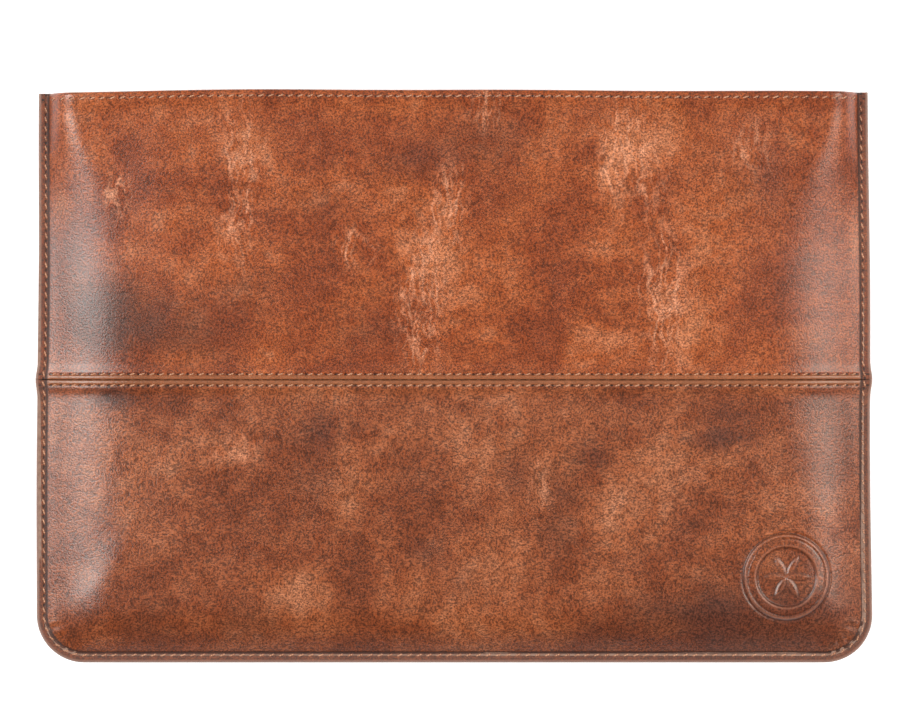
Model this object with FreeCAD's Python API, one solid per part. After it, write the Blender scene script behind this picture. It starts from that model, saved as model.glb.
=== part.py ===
import FreeCAD, Part
import math
import os

# A padded leather laptop sleeve, open along one long edge. It lies on its back: X runs along the mouth,
# Y from the bottom seam to the mouth, and Z up through the thickness. The origin is under its middle, on the
# surface that it lies on. Sizes are in millimetres. Each wall is a stack of leather, padding and lining. The
# two walls meet in a flat stitched margin round three sides, and heights are measured from the middle of that
# margin until the pieces are put in place.

# Outline
WIDTH = 340.0               # across the bottom corners
MOUTH_WIDTH = 336.8         # across the mouth, where the sleeve is a little narrower
LENGTH = 232.0              # from the bottom seam to the mouth
CORNER_R = 19.5             # bottom corners
MARGIN = 4.2                # flat stitched margin outside the padded part

# Layers of one wall, from outside to inside
LEATHER = 1.3
PADDING = 1.2
LINING = 0.45
PARED = 0.8                 # leather thinned where it is folded back
AIR = 0.05                  # between two curved layers
SEAM_GAP = 0.05             # from the middle of the seam to a lining

# Padded shoulder, from the margin up to the flat middle of the wall
SHOULDER_WIDTH = 30.0
SHOULDER_RISE = 10.0
SHOULDER_POWER = 2.4        # how much steeper the shoulder's foot is than its mean slope
SHOULDER_STEPS = (0.0, 2.6, 6.0, 11.0, 18.0, 30.0)

# Mouth hem and the seam that joins the two front panels
HEM_DEPTH = 14.0
HEM_ROW = 2.6               # from the mouth's edge to its row of stitches
STAY_TAPE = 0.25
STAY_TAPE_WIDTH = 10.0
SEAM_Y = -1.1
SEAM_ALLOWANCE = 6.0
SEAM_ROW = 2.25             # from the seam to each row of stitches beside it
SEAM_GROOVE_WIDTH = 1.0
SEAM_GROOVE_DEPTH = 0.4

# Thread, and the painted edge
THREAD_WIDTH = 0.6
THREAD_DEPTH = 0.35
EDGE_ROW = 3.1              # from the outer edge to the row round three sides
EDGE_COAT = 0.45

# Embossed ring on the lower front panel
RING_X = 134.4
RING_Y = -80.8
RING_OUTER_R = 17.2
RING_INNER_R = 12.2
RING_HEIGHT = 0.5
RING_ROOT = 1.0

BOTTOM_Y = -LENGTH / 2
MOUTH_Y = LENGTH / 2
BEYOND_Y = MOUTH_Y + 14.0   # the wall solids run past the mouth, and are then cut off there
CUT_EDGE = EDGE_COAT + AIR  # from the outline to the cut edges under the paint
MARGIN_HEIGHT = SEAM_GAP + LINING + LEATHER
WALL_HEIGHT = MARGIN_HEIGHT + SHOULDER_RISE
TAPER = math.atan((WIDTH - MOUTH_WIDTH) / 2 / LENGTH)

# Depths below the outer surface
PADDING_TOP = LEATHER + AIR
PADDING_UNDER = PADDING_TOP + PADDING - AIR
LINING_TOP = PADDING_UNDER + AIR
LINING_UNDER = LINING_TOP + LINING
HEM_TOP = LINING_UNDER + AIR
HEM_UNDER = HEM_TOP + PARED

HEM_ROW_Y = MOUTH_Y - HEM_ROW
CLOTH_END_Y = MOUTH_Y - LEATHER - AIR


def point(x, y, z):
    return FreeCAD.Vector(x, y, z)


def outline(inset, z):
    """The sleeve's outline, moved inwards by inset: straight sides and bottom, and round bottom corners."""
    radius = CORNER_R - min(inset, MARGIN)
    reach = WIDTH / 2 * math.cos(TAPER) + BOTTOM_Y * math.sin(TAPER) - inset
    centre_y = BOTTOM_Y + inset + radius
    centre_x = (reach - radius - math.sin(TAPER) * centre_y) / math.cos(TAPER)
    far_x = (reach - math.sin(TAPER) * BEYOND_Y) / math.cos(TAPER)
    middle = (TAPER - math.pi / 2) / 2
    side_x = centre_x + radius * math.cos(TAPER)
    side_y = centre_y + radius * math.sin(TAPER)
    middle_x = centre_x + radius * math.cos(middle)
    middle_y = centre_y + radius * math.sin(middle)
    foot_y = BOTTOM_Y + inset
    right = Part.Arc(point(centre_x, foot_y, z), point(middle_x, middle_y, z), point(side_x, side_y, z))
    left = Part.Arc(point(-side_x, side_y, z), point(-middle_x, middle_y, z), point(-centre_x, foot_y, z))
    edges = [
        Part.LineSegment(point(-centre_x, foot_y, z), point(centre_x, foot_y, z)),
        right,
        Part.LineSegment(point(side_x, side_y, z), point(far_x, BEYOND_Y, z)),
        Part.LineSegment(point(far_x, BEYOND_Y, z), point(-far_x, BEYOND_Y, z)),
        Part.LineSegment(point(-far_x, BEYOND_Y, z), point(-side_x, side_y, z)),
        left,
    ]
    return Part.Wire([edge.toShape() for edge in edges])


def plate(inset, low, high):
    """A flat plate of the outline's shape between two heights."""
    return Part.Face(outline(inset, low)).extrude(point(0, 0, high - low))


def band(inset, width, low, high):
    """A flat band that follows the outline round three sides."""
    return plate(inset, low, high).cut(plate(inset + width, low, high))


def shoulder_point(step):
    """A point of the wall's outer profile, as inset and height."""
    rise = SHOULDER_RISE * (1 - (1 - step / SHOULDER_WIDTH) ** SHOULDER_POWER)
    return MARGIN + step, MARGIN_HEIGHT + rise


def profile(depth):
    """The outer profile moved inwards by depth, and carried straight down to the middle of the seam."""
    points = [shoulder_point(step) for step in SHOULDER_STEPS]
    runs = [(b[0] - a[0], b[1] - a[1]) for a, b in zip(points, points[1:])]
    angles = [math.atan2(rise, run) for run, rise in runs]
    before = [angles[0]] + angles
    after = angles + [0.0]
    moved = []
    for (inset, height), first, second in zip(points, before, after):
        turn = (first + second) / 2
        reach = depth / math.cos((first - second) / 2)
        moved.append((inset + reach * math.sin(turn), height - reach * math.cos(turn)))
    moved[-1] = (points[-1][0], points[-1][1] - depth)
    foot = moved[0][0] - moved[0][1] / math.tan(angles[0])
    return [(foot, 0.0)] + moved[1:]


def mound(depth):
    """Everything below the wall's profile at a depth, down to the middle of the seam."""
    return Part.makeLoft([outline(inset, height) for inset, height in profile(depth)], True, True)


MOUNDS = {}


def under(depth, foot=0.0):
    """A mound, kept for the next piece that needs it, above a height."""
    if depth not in MOUNDS:
        MOUNDS[depth] = mound(depth)
    return MOUNDS[depth].common(block(BOTTOM_Y, BEYOND_Y, foot, WALL_HEIGHT))


def block(low_y, high_y, low_z=0.0, high_z=WALL_HEIGHT):
    """A block as wide as the sleeve, to keep what lies between two distances along it."""
    corner = point(-WIDTH / 2, low_y, low_z)
    return Part.makeBox(WIDTH, high_y - low_y, high_z - low_z, corner)


def layer(top, bottom, low_y, high_y, foot=0.0):
    """One curved layer of a wall, between two depths, from low_y to high_y."""
    return under(top, foot).cut(under(bottom)).common(block(low_y, high_y))


def skin(depth, thickness, low_y, high_y, inset=CUT_EDGE):
    """A layer that also runs out over the flat margin, as the leather does."""
    top = under(depth).fuse(plate(inset, 0.0, MARGIN_HEIGHT - depth))
    bottom = under(depth + thickness).fuse(plate(0.0, 0.0, MARGIN_HEIGHT - depth - thickness))
    return top.cut(bottom).common(block(low_y, high_y))


def thread_row(y):
    """A straight row of stitches across the wall, sunk in the leather between the side rows."""
    low_y = y - THREAD_WIDTH / 2
    inset = EDGE_ROW + THREAD_WIDTH / 2
    return skin(0.0, THREAD_DEPTH, low_y, low_y + THREAD_WIDTH, inset)


def underside_row(y, depth, foot):
    """The bobbin side of a row, sunk in a folded-back layer whose lower face is at a depth."""
    low_y = y - THREAD_WIDTH / 2
    return layer(depth - THREAD_DEPTH, depth, low_y, low_y + THREAD_WIDTH, foot)


def hem():
    """The turned edge at the mouth: the cap over the cloth layers, and the flap behind them."""
    body = under(0.0).fuse(plate(CUT_EDGE, SEAM_GAP, MARGIN_HEIGHT))
    cap = body.cut(under(HEM_UNDER)).common(block(MOUTH_Y - LEATHER, MOUTH_Y, SEAM_GAP))
    flap = layer(HEM_TOP, HEM_UNDER, MOUTH_Y - HEM_DEPTH, MOUTH_Y, SEAM_GAP)
    return cap.fuse(flap)


def lining():
    """Cloth inside the wall, which also runs out into the seam."""
    whole = under(LINING_TOP).fuse(plate(CUT_EDGE, 0.0, SEAM_GAP + LINING)).cut(under(LINING_UNDER))
    return whole.common(block(BOTTOM_Y, CLOTH_END_Y, SEAM_GAP))


def stay_tape():
    """Woven tape between leather and padding that keeps the mouth from stretching."""
    low_y = CLOTH_END_Y - STAY_TAPE_WIDTH
    return layer(PADDING_TOP, PADDING_TOP + STAY_TAPE, low_y, CLOTH_END_Y, MARGIN_HEIGHT)


def padding():
    """Foam between leather and lining, thinner under the stay tape."""
    foot = SEAM_GAP + LINING + AIR
    whole = layer(PADDING_TOP, PADDING_UNDER, BOTTOM_Y, CLOTH_END_Y, foot)
    room_top = CLOTH_END_Y - STAY_TAPE_WIDTH - AIR
    room = layer(PADDING_TOP - AIR, PADDING_TOP + STAY_TAPE + AIR, room_top, BEYOND_Y)
    return whole.cut(room)


def seam_allowances(low_y, high_y):
    """Leather folded back behind the seam between the front panels."""
    return layer(LEATHER - AIR, LEATHER + PARED, low_y, high_y, MARGIN_HEIGHT)


def seam_channels():
    """The groove at the seam, and the room for its thread."""
    half = SEAM_GROOVE_WIDTH / 2
    groove = skin(0.0, SEAM_GROOVE_DEPTH, SEAM_Y - half, SEAM_Y + half, 0.0)
    return groove.fuse(joining_thread())


def joining_thread():
    """The hidden row that joins the front panels before they are folded back. It starts above the margin."""
    low_y = SEAM_Y - THREAD_WIDTH / 2
    foot = MARGIN_HEIGHT + THREAD_WIDTH
    return layer(LEATHER - THREAD_DEPTH, LEATHER, low_y, low_y + THREAD_WIDTH, foot)


def ring():
    """The embossed ring, which follows the shoulder under it and has its foot inside the leather."""
    foot = point(RING_X, RING_Y, 0.0)
    tube = Part.makeCylinder(RING_OUTER_R, 2 * WALL_HEIGHT, foot)
    tube = tube.cut(Part.makeCylinder(RING_INNER_R, 2 * WALL_HEIGHT, foot))
    return mound(-RING_HEIGHT).cut(under(RING_ROOT)).common(tube)


def edge_thread():
    """The row of stitches round three sides, sunk in the margin."""
    low = MARGIN_HEIGHT - THREAD_DEPTH
    whole = band(EDGE_ROW - THREAD_WIDTH / 2, THREAD_WIDTH, low, MARGIN_HEIGHT)
    return whole.common(block(BOTTOM_Y, MOUTH_Y))


def cut_all(shape, tools):
    for tool in tools:
        shape = shape.cut(tool)
    return shape


def front_pieces():
    """The front wall's pieces, with heights from the middle of the seam."""
    upper_row = SEAM_Y + SEAM_ROW
    lower_row = SEAM_Y - SEAM_ROW
    folded = LEATHER + PARED
    rows = {
        "front_mouth_needle_thread": thread_row(HEM_ROW_Y),
        "front_mouth_bobbin_thread": underside_row(HEM_ROW_Y, HEM_UNDER, SEAM_GAP),
        "cross_seam_upper_needle_thread": thread_row(upper_row),
        "cross_seam_upper_bobbin_thread": underside_row(upper_row, folded, MARGIN_HEIGHT),
        "cross_seam_lower_needle_thread": thread_row(lower_row),
        "cross_seam_lower_bobbin_thread": underside_row(lower_row, folded, MARGIN_HEIGHT),
        "cross_seam_joining_thread": joining_thread(),
        "perimeter_needle_thread": edge_thread(),
    }
    channels = list(rows.values()) + [seam_channels()]
    upper = skin(0.0, LEATHER, SEAM_Y, MOUTH_Y).fuse(hem())
    upper = upper.fuse(seam_allowances(SEAM_Y, SEAM_Y + SEAM_ALLOWANCE))
    lower = skin(0.0, LEATHER, BOTTOM_Y, SEAM_Y).fuse(ring())
    lower = lower.fuse(seam_allowances(SEAM_Y - SEAM_ALLOWANCE, SEAM_Y))
    room_low = SEAM_Y - SEAM_ALLOWANCE - AIR
    room_high = SEAM_Y + SEAM_ALLOWANCE + AIR
    room = layer(LEATHER, LEATHER + PARED + AIR, room_low, room_high)
    pieces = {
        "front_upper_panel": cut_all(upper, channels),
        "front_lower_panel": cut_all(lower, channels),
        "front_padding": padding().cut(room),
        "front_lining": lining(),
        "front_mouth_stay_tape": stay_tape(),
    }
    pieces.update(rows)
    return pieces


def back_pieces():
    """The back wall's pieces, modelled upwards like the front's."""
    rows = {
        "back_mouth_needle_thread": thread_row(HEM_ROW_Y),
        "back_mouth_bobbin_thread": underside_row(HEM_ROW_Y, HEM_UNDER, SEAM_GAP),
        "perimeter_bobbin_thread": edge_thread(),
    }
    panel = skin(0.0, LEATHER, BOTTOM_Y, MOUTH_Y).fuse(hem())
    pieces = {
        "back_panel": cut_all(panel, list(rows.values())),
        "back_padding": padding(),
        "back_lining": lining(),
        "back_mouth_stay_tape": stay_tape(),
    }
    pieces.update(rows)
    return pieces


def edge_coating():
    """Paint that seals and rounds the cut edge of the margin on both walls."""
    whole = band(0.0, EDGE_COAT, -MARGIN_HEIGHT, MARGIN_HEIGHT)
    return whole.common(block(BOTTOM_Y, MOUTH_Y, -MARGIN_HEIGHT))


def export(name, shape):
    """Write one piece at its place in the sleeve, as solids only."""
    placed = shape.removeSplitter()
    placed.translate(point(0, 0, WALL_HEIGHT))
    solids = placed.Solids
    whole = solids[0] if len(solids) == 1 else Part.makeCompound(solids)
    whole.exportStep("parts/" + name + ".step")
    print(f"{name}: {len(solids)} solid, {whole.Volume / 1000:.2f} cm3, valid {whole.isValid()}")


os.makedirs("parts", exist_ok=True)
for name, shape in front_pieces().items():
    export(name, shape)
for name, shape in back_pieces().items():
    export(name, shape.mirror(point(0, 0, 0), point(0, 0, 1)))
export("edge_coating", edge_coating())
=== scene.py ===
# %% [markdown]
# # A padded leather laptop sleeve
#
# The real sleeve is two soft walls sewn together round three sides, and open along the fourth. Each wall is
# waxed leather over thin foam over a cloth lining. The front leather is pieced from two panels, and the lower
# one carries a round embossed mark. Nothing in it is hard, so nearly every surface here is a sheet that
# follows one shared shape: work out that shape once, and let every layer lie a little deeper below it.

# %% Load the frame
import math

import bpy
import numpy as np
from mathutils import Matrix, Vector, noise


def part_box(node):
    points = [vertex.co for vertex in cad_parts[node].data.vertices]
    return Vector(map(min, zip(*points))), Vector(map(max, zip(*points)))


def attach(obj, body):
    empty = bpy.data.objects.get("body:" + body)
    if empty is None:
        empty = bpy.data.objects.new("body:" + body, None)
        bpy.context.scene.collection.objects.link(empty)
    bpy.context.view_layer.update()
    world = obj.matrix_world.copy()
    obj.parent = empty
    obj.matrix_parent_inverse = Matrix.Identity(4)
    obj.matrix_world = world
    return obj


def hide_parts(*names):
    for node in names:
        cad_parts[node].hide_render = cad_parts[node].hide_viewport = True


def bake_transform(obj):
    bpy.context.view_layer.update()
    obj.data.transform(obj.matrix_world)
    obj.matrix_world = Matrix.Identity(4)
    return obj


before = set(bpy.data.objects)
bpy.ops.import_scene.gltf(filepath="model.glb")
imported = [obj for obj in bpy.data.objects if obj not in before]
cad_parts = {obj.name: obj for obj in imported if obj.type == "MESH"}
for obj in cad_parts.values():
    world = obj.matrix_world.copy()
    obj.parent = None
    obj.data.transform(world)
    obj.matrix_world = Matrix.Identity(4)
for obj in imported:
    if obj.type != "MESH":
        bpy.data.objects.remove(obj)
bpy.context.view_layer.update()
MM = 0.001

# %% [markdown]
# ## Sizes
#
# The frame is the maker's drawing, so the sizes are read from it. The painted edge gives the outline, the
# rows of thread give the places of the stitches, and the height of the back panel gives the wall. Only what
# the drawing leaves plain, such as how broad the padded shoulder is, gets a number of its own.

# %% Sizes from the frame
edge_low, edge_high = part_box("edge_coating")
row_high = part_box("perimeter_needle_thread")[1]
hem_low, hem_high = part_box("front_mouth_needle_thread")
seam_row_low, seam_row_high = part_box("cross_seam_upper_needle_thread")

HALF = edge_high.x                                  # half the outline's width at its widest
BOTTOM, MOUTH = edge_low.y, edge_high.y
MIDDLE = (edge_low.z + edge_high.z) / 2             # height of the middle of the stitched margin
MARGIN_TOP = edge_high.z - MIDDLE
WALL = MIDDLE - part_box("back_panel")[0].z
RISE = WALL - MARGIN_TOP
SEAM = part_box("front_upper_panel")[0].y             # the seam between the two front panels
EDGE_ROW = HALF - row_high.x + 0.3 * MM
HEM_ROW = MOUTH - (hem_low.y + hem_high.y) / 2
SEAM_ROW = (seam_row_low.y + seam_row_high.y) / 2 - SEAM
TAPER = HALF - (hem_high.x + EDGE_ROW + 0.3 * MM)   # how much narrower each side is at the mouth

MARGIN = 4.2 * MM
CUT_EDGE = 0.5 * MM
LEATHER = 1.3 * MM
LINING = 0.45 * MM
LINING_DEPTH = 2.55 * MM
HEM_DEPTH = 3.85 * MM
HEM_REACH = 14.0 * MM
CORNER = 19.5 * MM
BLOCK = 48.0 * MM                                   # the square in which a bottom corner turns
PITCH = 4.0 * MM
print(f"outline {2000 * HALF:.1f} x {1000 * (MOUTH - BOTTOM):.1f} mm, wall {1000 * WALL:.1f} mm,"
      f" rows {1000 * EDGE_ROW:.2f} and {1000 * HEM_ROW:.2f} mm in")

# %% [markdown]
# ## One shape for every layer
#
# A pattern cutter draws a sleeve as a flat rectangle. Here too each point has a place on a flat pattern,
# pattern_x across and pattern_y up. Three steps turn it into a place on the sleeve: the bottom corners are
# bent into arcs, the sides are drawn in towards the mouth, and the padding lifts the wall. Because the
# pattern's straight lines stay parallel to the edge all the way round, stitches, padding and paint can all
# follow the edge with no more work.

# %% From the flat pattern to the plan
def smooth(value, low, high):
    """0 below low, 1 above high, and an even curve between."""
    share = np.clip((value - low) / (high - low), 0, 1)
    return share * share * (3 - 2 * share)


def bump(value, centre, width):
    """A soft hill of height 1."""
    return np.exp(-((value - centre) / width) ** 2)


def insets(pattern_x, pattern_y):
    """How far a point is from the side and from the bottom."""
    return HALF - np.abs(pattern_x), pattern_y - BOTTOM


def corner_run(ring):
    """Length of half a corner block's line that lies ring inside the edge, and its radius."""
    fading = np.clip((BLOCK - ring) / (BLOCK - MARGIN), 0, 1)
    radius = (CORNER - np.minimum(ring, MARGIN)) * fading
    return radius * math.pi / 4 + BLOCK - ring - radius, radius


def round_corners(pattern_x, pattern_y):
    side, foot = insets(pattern_x, pattern_y)
    ring, reach = np.minimum(side, foot), np.maximum(side, foot)
    length, radius = corner_run(ring)
    run = np.clip((reach - ring) / np.maximum(BLOCK - ring, 1e-9), 0, 1) * length
    turn = math.pi / 4 - np.minimum(run / np.maximum(radius, 1e-9), math.pi / 4)
    near = ring + radius - radius * np.cos(turn)
    far = ring + radius - radius * np.sin(turn) + np.maximum(run - radius * math.pi / 4, 0)
    turned = (side < BLOCK) & (foot < BLOCK)
    by_side = side < foot
    new_side = np.where(turned, np.where(by_side, near, far), side)
    new_foot = np.where(turned, np.where(by_side, far, near), foot)
    return np.sign(pattern_x) * (HALF - new_side), BOTTOM + new_foot


SEAM_END_PUSH = 0.9 * MM     # the seam's folded layers push the edge out at both ends


def mouth_line(x):
    """How far the mouth's edge strays from straight."""
    lift = 0.35 * np.cos((x + 60 * MM) / (74 * MM)) + 0.12 * np.sin(x / (17 * MM))
    droop = 1.0 * bump(x, -HALF, 45 * MM)
    return (lift - droop) * MM


def plan(pattern_x, pattern_y):
    """Where a point of the pattern is, seen from above."""
    x, y = round_corners(pattern_x, pattern_y)
    up = (pattern_y - BOTTOM) / (MOUTH - BOTTOM)
    side = HALF - np.abs(pattern_x)
    x = x * (1 - TAPER / HALF * up)
    x = x + np.sign(x) * SEAM_END_PUSH * bump(pattern_y, SEAM, 4.5 * MM) * smooth(-side, -9 * MM, 0)
    x = x + 0.25 * MM * np.sin(pattern_y / (23 * MM)) * smooth(-side, -30 * MM, 0)
    y = y + mouth_line(x) * smooth(pattern_y, MOUTH - 40 * MM, MOUTH)
    return x, y


# %% [markdown]
# ## The padded shoulder
#
# From the stitched margin the leather climbs, then eases over into the flat of the wall. The curve is a power
# of the distance left to climb, which is steepest at its foot and level at its top. It is broad along the
# sides, where a laptop's edge presses, and narrow at the mouth, where the hem holds the leather straight.
# Small radial folds gather where the shoulder turns a bottom corner.

# %% Height of the wall
def shoulder_width(pattern_x, pattern_y):
    towards_mouth = smooth(pattern_y, MOUTH - 70 * MM, MOUTH - 4 * MM)
    lower_right = smooth(pattern_x, 0, HALF) * smooth(-pattern_y, 0, 60 * MM)
    along_side = 40 * MM - 28 * MM * towards_mouth - 12 * MM * lower_right
    side, foot = insets(pattern_x, pattern_y)
    along_foot = 22 * MM
    share = smooth(foot - side, -15 * MM, 25 * MM)
    return along_foot * (1 - share) + along_side * share


def puckers(pattern_x, pattern_y, ring):
    """Small folds that fan out where the shoulder turns a bottom corner."""
    x, y = round_corners(pattern_x, pattern_y)
    centre = HALF - CORNER
    angle = np.arctan2(-(y - BOTTOM - CORNER), np.abs(x) - centre)
    turned = smooth(angle, 0.0, 0.25) * smooth(-angle, -math.pi / 2, -1.2)
    band = bump(ring, 6.4 * MM, 2.2 * MM)
    strength = np.where(pattern_x > 0, 0.65, 0.25) * MM
    return strength * np.cos(angle * 21 + 1.5 * np.sin(angle * 5)) * turned * band


def rise(pattern_x, pattern_y):
    """Height of a wall's outer face above the middle of the seam."""
    side, foot = insets(pattern_x, pattern_y)
    ring = np.minimum(side, foot)
    width = shoulder_width(pattern_x, pattern_y)
    climb = np.clip((ring - MARGIN) / width, 0, 1)
    height = MARGIN_TOP + RISE * (1 - (1 - climb) ** 2.4)
    height = height + puckers(pattern_x, pattern_y, ring)
    height = height - 0.32 * MM * (1 - np.sqrt(1 - smooth(-ring, -1.9 * MM, -0.3 * MM) ** 2 * 0.99))
    height = height - 0.22 * MM * bump(ring, EDGE_ROW, 0.5 * MM)
    return height


# %% [markdown]
# ## Layers
#
# A layer is the same shape pushed in along the surface's normal. The normal comes from two small steps on
# the pattern, one across and one up, and their cross product. In the margin there is no room for the deeper
# layers, so nothing is let through the middle of the seam.

# %% Placing points in three dimensions
SEAM_GAP = 0.06 * MM
NORMAL_STEP = 0.08 * MM


class Wall:
    """One wall of the sleeve: side is 1 for the front and -1 for the back."""

    def __init__(self, side, extra):
        self.side, self.extra = side, extra
        self.settled = None

    def outer(self, pattern_x, pattern_y):
        x, y = plan(pattern_x, pattern_y)
        height = rise(pattern_x, pattern_y)
        if self.settled:
            height = height + self.settled.read(pattern_x, pattern_y)
        if self.side < 0:
            height = np.minimum(height, WALL)       # the table presses the back flat
        height = height + self.extra(pattern_x, pattern_y)
        return np.stack([x, y, height], axis=1)

    def place(self, pattern_x, pattern_y, depth):
        """Points at a depth below the outer face, and the outward normals there."""
        here = self.outer(pattern_x, pattern_y)
        step = NORMAL_STEP
        across = self.outer(pattern_x + step, pattern_y) - self.outer(pattern_x - step, pattern_y)
        up = self.outer(pattern_x, pattern_y + step) - self.outer(pattern_x, pattern_y - step)
        normal = np.cross(across, up)
        normal /= np.linalg.norm(normal, axis=1)[:, None]
        points = here - normal * np.reshape(depth, (-1, 1))
        points[:, 2] = np.maximum(points[:, 2], SEAM_GAP)
        flip = np.array([1, 1, self.side])
        return points * flip + np.array([0, 0, MIDDLE]), normal * flip


def seam_ridge(pattern_x, pattern_y):
    """The folded allowances lift a strip each side of the seam, and each row of thread pulls it down."""
    away = np.abs(pattern_y - SEAM)
    side = HALF - np.abs(pattern_x)
    strip = 0.24 * bump(away, 1.2 * MM, 0.9 * MM) - 0.30 * bump(away, SEAM_ROW, 0.42 * MM)
    strip = strip + 0.14 * bump(away, 3.6 * MM, 1.5 * MM)
    thick_end = 0.55 * bump(away, 0, 5 * MM) * smooth(-side, -7 * MM, -3 * MM)
    return (strip * smooth(side, MARGIN, MARGIN + 2 * MM) + thick_end) * MM


def hem_groove(_, pattern_y):
    """The row of thread lies in a groove, so that it doesn't touch the table."""
    return -0.5 * MM * bump(pattern_y, MOUTH - HEM_ROW, 0.9 * MM)


front = Wall(1, seam_ridge)
back = Wall(-1, hem_groove)
print("wall height in the middle:", np.round(1000 * front.outer(np.array([0.0]), np.array([50 * MM]))[0, 2], 2))

# %% [markdown]
# ## Letting the leather settle
#
# Leather sewn over foam isn't quite smooth: the hide stretches more in one place than in another, and it
# billows a little between the seams that hold it down. A cloth simulation finds that shape. A coarse copy
# of each wall is pinned along the margin, the seam and the hem, given a hide that has stretched unevenly,
# and pressed out from inside. Only the change in height is kept, less than a millimetre of it, with the
# foam's own lumps added, and every layer then follows it. The simulation works at ten times the real size.

# %% Small helpers for meshes
def deselect():
    if bpy.context.object and bpy.context.object.mode != "OBJECT":
        bpy.ops.object.mode_set(mode="OBJECT")
    bpy.ops.object.select_all(action="DESELECT")


def choose(piece):
    deselect()
    piece.select_set(True)
    bpy.context.view_layer.objects.active = piece


def read(piece):
    points = np.empty(len(piece.data.vertices) * 3)
    piece.data.vertices.foreach_get("co", points)
    return points.reshape(-1, 3)


def write(piece, points):
    piece.data.vertices.foreach_set("co", np.ascontiguousarray(points, dtype=np.float32).ravel())
    piece.data.update()


def add_grid(name, columns, rows):
    """A flat grid with this many lines of vertices each way."""
    deselect()
    bpy.ops.mesh.primitive_grid_add(x_subdivisions=columns - 1, y_subdivisions=rows - 1, size=1)
    piece = bpy.context.object
    piece.name = piece.data.name = name
    return piece


def add_group(piece, name, weights):
    group = piece.vertex_groups.new(name=name)
    for index, weight in enumerate(weights):
        group.add([index], float(weight), "REPLACE")
    return name


# %% Reading a height between the nodes of a grid
class Field:
    """Heights on an even grid over the pattern, read between the nodes with cubic weights."""

    def __init__(self, heights):
        self.heights = np.pad(heights, 2, mode="edge")

    def steps(self, share, count):
        """The node before each point, and the weights of the four nodes round it."""
        place = np.clip(share, 0, 1) * (count - 5)
        node = np.minimum(place.astype(int), count - 6)
        t = place - node
        return node, np.stack([(1 - t) ** 3, 3 * t ** 3 - 6 * t ** 2 + 4,
                               -3 * t ** 3 + 3 * t ** 2 + 3 * t + 1, t ** 3]) / 6

    def read(self, pattern_x, pattern_y):
        rows, columns = self.heights.shape
        row, up = self.steps((pattern_y - BOTTOM) / (MOUTH - BOTTOM), rows)
        column, along = self.steps((pattern_x + HALF) / (2 * HALF), columns)
        return sum(up[i] * along[j] * self.heights[row + 1 + i, column + 1 + j]
                   for i in range(4) for j in range(4))


# %% Cloth simulation of one wall
SIM_SCALE = 10
SIM_COLUMNS, SIM_ROWS = 100, 70
SIM_FRAMES = 16
MOST_CHANGE = 0.8 * MM


def settle(name, wall, held, seed):
    """Runs the simulation and returns the change in height. held says how firmly each point is pinned."""
    piece = add_grid(name, SIM_COLUMNS + 1, SIM_ROWS + 1)
    across, up = np.linspace(-HALF, HALF, SIM_COLUMNS + 1), np.linspace(BOTTOM, MOUTH, SIM_ROWS + 1)
    pattern_x, pattern_y = np.tile(across, SIM_ROWS + 1), np.repeat(up, SIM_COLUMNS + 1)
    start = wall.outer(pattern_x, pattern_y)
    write(piece, start * SIM_SCALE)
    ring = np.minimum(*insets(pattern_x, pattern_y))
    pins = np.maximum(1 - smooth(ring, 4 * MM, 9 * MM), held(pattern_y))
    spots = [Vector((x / (42 * MM), y / (34 * MM), seed)) for x, y in zip(pattern_x, pattern_y)]
    uneven = np.array([noise.noise(spot) + 0.4 * noise.noise(spot * 2.3) for spot in spots])
    modifier = piece.modifiers.new("cloth", "CLOTH")
    settings = modifier.settings
    settings.quality = 6
    settings.vertex_group_mass = add_group(piece, "pins", pins)
    settings.vertex_group_shrink = add_group(piece, "uneven", np.clip(0.5 + uneven, 0, 1))
    settings.shrink_min, settings.shrink_max = 0.0, -0.012
    settings.bending_stiffness = 1.0
    settings.use_pressure = True
    settings.uniform_pressure_force = 0.06
    settings.effector_weights.gravity = 0.0
    for frame_number in range(1, SIM_FRAMES + 1):
        bpy.context.scene.frame_set(frame_number)
    shaped = piece.evaluated_get(bpy.context.evaluated_depsgraph_get()).data
    points = np.empty(len(shaped.vertices) * 3)
    shaped.vertices.foreach_get("co", points)
    bpy.data.objects.remove(piece)
    change = points.reshape(-1, 3)[:, 2] / SIM_SCALE - start[:, 2]
    change = change - np.percentile(change[pins < 0.01], 75) * (1 - pins)
    change = MOST_CHANGE * np.tanh(change / MOST_CHANGE) + 0.3 * MM * (uneven - 0.5) * (1 - pins)
    print(name, "height changes, mm:", np.round(1000 * np.percentile(change, [1, 25, 50, 75, 99]), 2))
    return Field(change.reshape(SIM_ROWS + 1, SIM_COLUMNS + 1))


def held_at_hem(pattern_y):
    return smooth(pattern_y, MOUTH - 9 * MM, MOUTH - 3 * MM)


def held_at_seam(pattern_y):
    return np.maximum(held_at_hem(pattern_y), 1 - smooth(np.abs(pattern_y - SEAM), 2.5 * MM, 5 * MM))


front.settled = settle("front_wall_settling", front, held_at_seam, 3.0)
back.settled = settle("back_wall_settling", back, held_at_hem, 8.0)
bpy.context.scene.frame_set(1)

# %% [markdown]
# ## Lines of the grid
#
# A sheet is a grid primitive with its columns and rows moved to chosen lines. Lines are close together where
# the surface bends, at the edge and up the shoulder, and further apart in the flat of the wall, where the
# grain comes from the material.

# %% Columns and rows
def graded(start, end, steps, power):
    """Values from start to end that begin close together."""
    return [start + (end - start) * (step / steps) ** power for step in range(1, steps + 1)]


def even(start, end, spacing):
    """Values from after start to end, evenly spaced and near the given spacing."""
    steps = max(1, round(abs(end - start) / spacing))
    return [start + (end - start) * step / steps for step in range(1, steps + 1)]


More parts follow.
